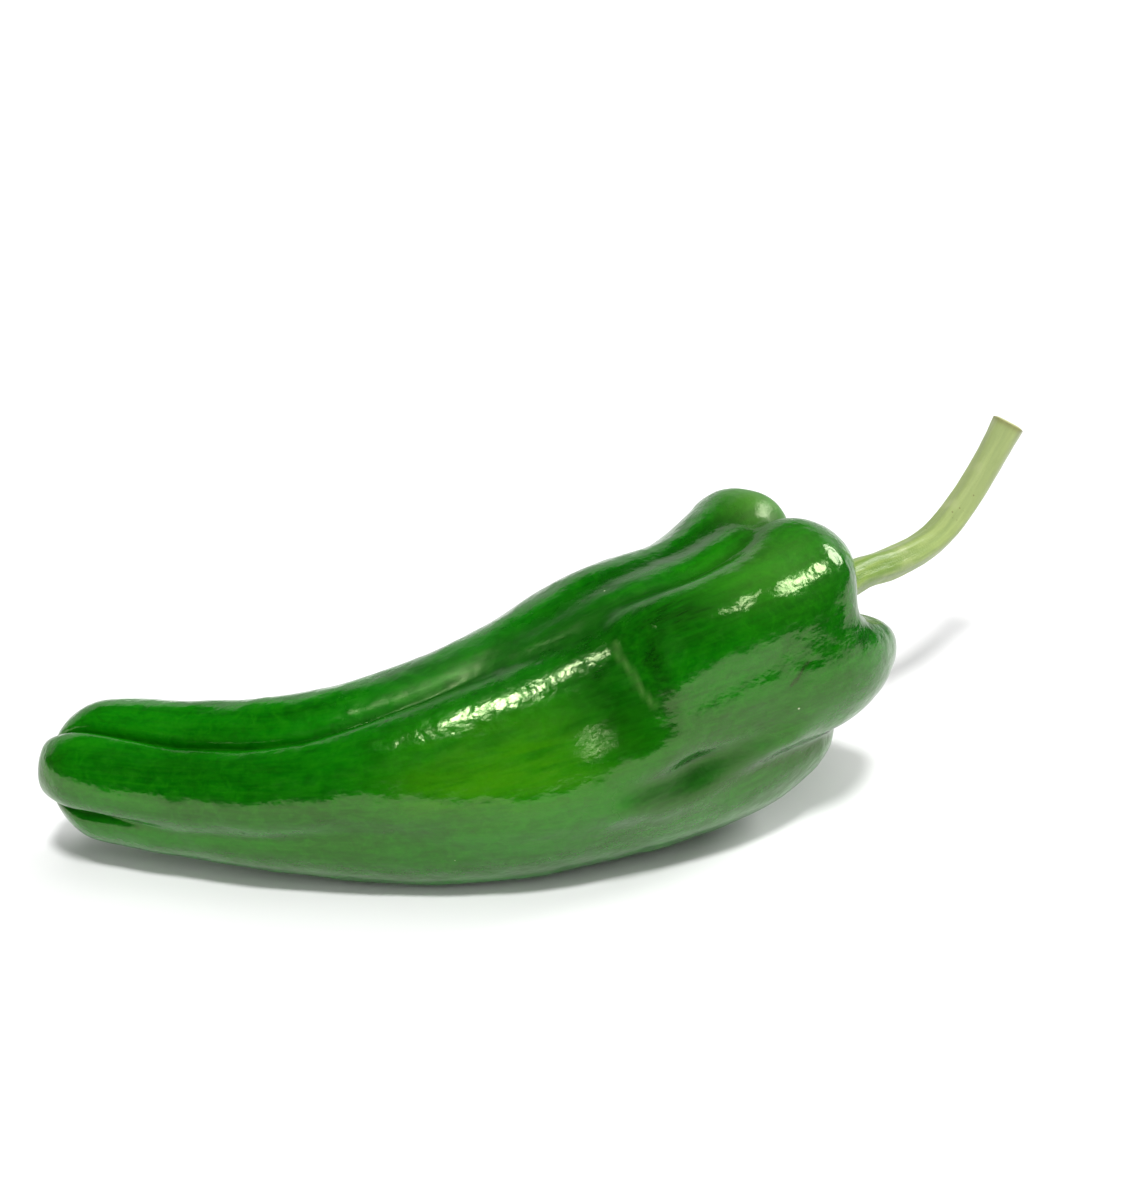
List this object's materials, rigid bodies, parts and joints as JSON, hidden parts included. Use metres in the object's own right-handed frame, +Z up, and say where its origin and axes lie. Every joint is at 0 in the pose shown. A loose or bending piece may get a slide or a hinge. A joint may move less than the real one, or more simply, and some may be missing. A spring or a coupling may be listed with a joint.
{
  "type": "italian frying pepper",
  "caption": "Long green frying pepper lying on its side: a curved, lobed and grooved pod with a tall shoulder, a papery calyx sunk in its crown and a bent stem.",
  "frame": {"origin": "middle of the pepper's bounding box, on the surface that it lies on", "axes": "+X from the pod's tip towards the stem, +Z up, -Y the side that the picture shows"},
  "size_m": [0.1972, 0.0732, 0.0602],
  "materials": {
    "pod_skin": "waxy deep green skin, glossy, with paler yellow-green patches",
    "calyx": "wrinkled dark green, papery brown at the edge",
    "stem": "pale lime green, satin, faintly ridged"
  },
  "bodies": {
    "root": {"pod": "pod_skin", "calyx": "calyx", "stem": "stem"}
  },
  "joints": []
}
